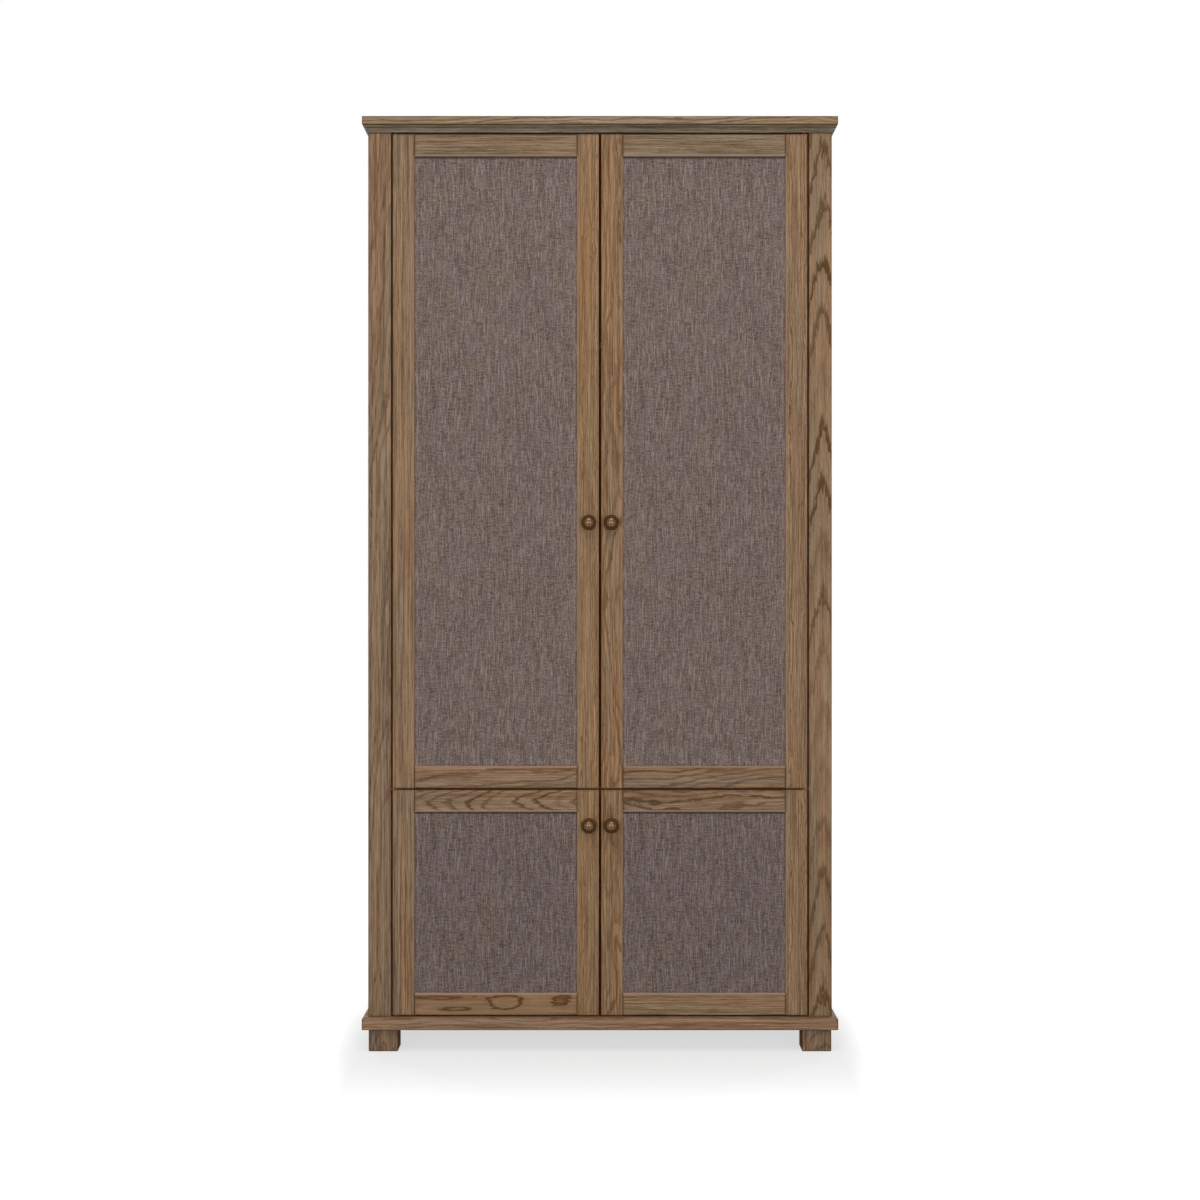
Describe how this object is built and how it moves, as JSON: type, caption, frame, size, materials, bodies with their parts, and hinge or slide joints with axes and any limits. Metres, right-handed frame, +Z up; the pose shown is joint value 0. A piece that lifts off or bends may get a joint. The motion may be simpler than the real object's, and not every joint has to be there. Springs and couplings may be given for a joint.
{
  "type": "tall cabinet",
  "caption": "Tall free-standing wood cabinet: long cloth-panelled doors over short ones, round metal knobs, cove-moulded crown, overhanging base board and block feet.",
  "frame": {"origin": "on the floor, under the middle of the whole object's box, knobs included", "axes": "+Z up, the doors face -Y, +X to the right as one faces the doors"},
  "size_m": [1.07, 0.464, 2.1035],
  "materials": {
    "oak_crown": "weathered, waxed, light",
    "oak_doors": "weathered, waxed",
    "oak_posts": "weathered, waxed",
    "oak_base": "weathered, waxed",
    "oak_inside": "matt, stained",
    "oak_plywood": "matt, stained",
    "linen_upper": "slubbed linen weave",
    "linen_lower": "slubbed linen weave",
    "knob_brass": "antique, dark",
    "hinge_metal": "bronzed",
    "catch_plastic": "brown"
  },
  "bodies": {
    "carcass": {"crown_board": "oak_crown", "cornice_front": "oak_crown", "cornice_left": "oak_crown", "cornice_right": "oak_crown", "front_post_left": "oak_posts", "front_post_right": "oak_posts", "back_post_left": "oak_posts", "back_post_right": "oak_posts", "side_panel_left": "oak_posts", "side_panel_right": "oak_posts", "back_panel": "oak_plywood", "middle_shelf": "oak_inside", "upper_shelf_1": "oak_inside", "upper_shelf_2": "oak_inside", "lower_shelf": "oak_inside", "base_board": "oak_base", "front_foot_left": "oak_base", "front_foot_right": "oak_base", "back_foot_left": "oak_base", "back_foot_right": "oak_base", "top_pivot_left": "hinge_metal", "top_pivot_right": "hinge_metal", "middle_pivot_left": "hinge_metal", "middle_pivot_right": "hinge_metal", "bottom_pivot_left": "hinge_metal", "bottom_pivot_right": "hinge_metal", "upper_catch": "catch_plastic", "lower_catch": "catch_plastic"},
    "left_upper_door": {"left_upper_outer_stile": "oak_doors", "left_upper_inner_stile": "oak_doors", "left_upper_top_rail": "oak_doors", "left_upper_bottom_rail": "oak_doors", "left_upper_fabric_panel": "linen_upper", "left_upper_knob": "knob_brass", "left_upper_top_leaf": "hinge_metal", "left_upper_bottom_leaf": "hinge_metal"},
    "right_upper_door": {"right_upper_outer_stile": "oak_doors", "right_upper_inner_stile": "oak_doors", "right_upper_top_rail": "oak_doors", "right_upper_bottom_rail": "oak_doors", "right_upper_fabric_panel": "linen_upper", "right_upper_knob": "knob_brass", "right_upper_top_leaf": "hinge_metal", "right_upper_bottom_leaf": "hinge_metal"},
    "left_lower_door": {"left_lower_outer_stile": "oak_doors", "left_lower_inner_stile": "oak_doors", "left_lower_top_rail": "oak_doors", "left_lower_bottom_rail": "oak_doors", "left_lower_fabric_panel": "linen_lower", "left_lower_knob": "knob_brass", "left_lower_top_leaf": "hinge_metal", "left_lower_bottom_leaf": "hinge_metal"},
    "right_lower_door": {"right_lower_outer_stile": "oak_doors", "right_lower_inner_stile": "oak_doors", "right_lower_top_rail": "oak_doors", "right_lower_bottom_rail": "oak_doors", "right_lower_fabric_panel": "linen_lower", "right_lower_knob": "knob_brass", "right_lower_top_leaf": "hinge_metal", "right_lower_bottom_leaf": "hinge_metal"}
  },
  "joints": [
    {"name": "left_upper_hinge", "type": "hinge", "parent": "carcass", "child": "left_upper_door", "pos_m": [-0.4595, -0.199, 1.329], "axis": [0, 0, -1], "range_deg": [0, 105]},
    {"name": "right_upper_hinge", "type": "hinge", "parent": "carcass", "child": "right_upper_door", "pos_m": [0.4595, -0.199, 1.329], "axis": [0, 0, 1], "range_deg": [0, 105]},
    {"name": "left_lower_hinge", "type": "hinge", "parent": "carcass", "child": "left_lower_door", "pos_m": [-0.4595, -0.199, 0.3355], "axis": [0, 0, -1], "range_deg": [0, 105]},
    {"name": "right_lower_hinge", "type": "hinge", "parent": "carcass", "child": "right_lower_door", "pos_m": [0.4595, -0.199, 0.3355], "axis": [0, 0, 1], "range_deg": [0, 105]}
  ]
}
